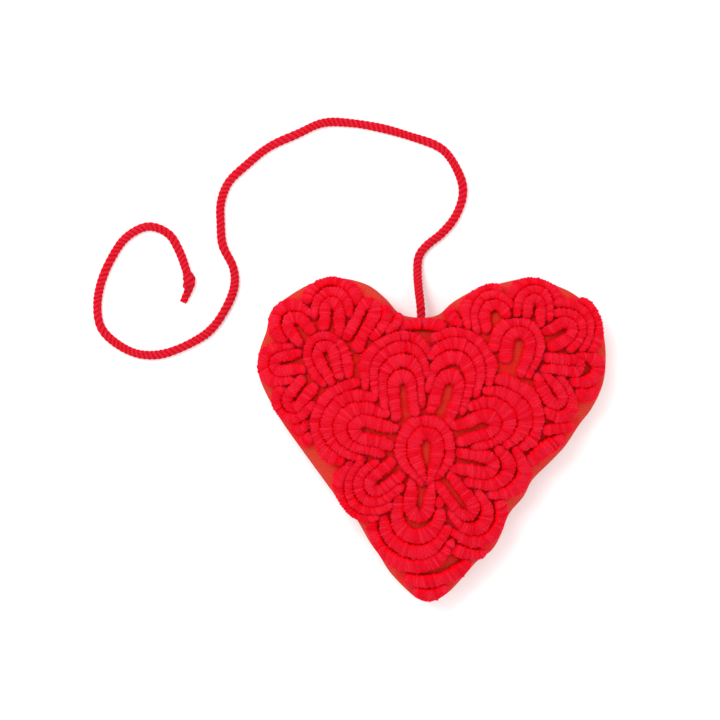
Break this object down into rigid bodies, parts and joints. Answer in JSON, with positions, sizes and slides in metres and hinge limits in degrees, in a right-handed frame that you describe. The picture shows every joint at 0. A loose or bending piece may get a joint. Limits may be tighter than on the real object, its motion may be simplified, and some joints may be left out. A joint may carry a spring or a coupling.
{
  "type": "embroidered heart ornament",
  "caption": "Stuffed cloth heart with nested wrapped wool stitches in flowers over its face, and a long twisted cord with a knotted end at its notch.",
  "frame": {"origin": "middle of the heart's width and length, on the surface that its back rests on", "axes": "+X across the heart to the right as its face is seen, +Y from its point to its notch and cord, +Z out of its embroidered face"},
  "size_m": [0.147, 0.1387, 0.0242],
  "materials": {
    "heart_cloth": "plain woven cloth, matt",
    "embroidery_wool": "wrapped wool yarn, soft and matt",
    "cord_wool": "twisted two-ply wool yarn, slightly fuzzy"
  },
  "bodies": {
    "root": {"heart_pad": "heart_cloth", "flower_centre": "embroidery_wool", "petal_1": "embroidery_wool", "petal_2": "embroidery_wool", "petal_3": "embroidery_wool", "petal_4": "embroidery_wool", "petal_5": "embroidery_wool", "petal_6": "embroidery_wool", "petal_7": "embroidery_wool", "petal_8": "embroidery_wool", "left_centre": "embroidery_wool", "left_petal_1": "embroidery_wool", "left_petal_2": "embroidery_wool", "left_petal_3": "embroidery_wool", "left_petal_4": "embroidery_wool", "left_petal_5": "embroidery_wool", "right_centre": "embroidery_wool", "right_petal_1": "embroidery_wool", "right_petal_2": "embroidery_wool", "right_petal_3": "embroidery_wool", "right_petal_4": "embroidery_wool", "right_petal_5": "embroidery_wool", "petal_5_filler": "embroidery_wool", "petal_5_tip": "embroidery_wool", "left_side_stitch_1": "embroidery_wool", "left_side_stitch_2": "embroidery_wool", "left_leaf_1": "embroidery_wool", "left_leaf_2": "embroidery_wool", "right_side_stitch": "embroidery_wool", "right_leaf_1": "embroidery_wool", "right_leaf_2": "embroidery_wool", "right_under_stitch": "embroidery_wool", "tip_stitch_1": "embroidery_wool", "tip_stitch_2": "embroidery_wool", "notch_stitch": "embroidery_wool", "hanging_cord": "cord_wool", "cord_knot": "cord_wool"}
  },
  "joints": []
}
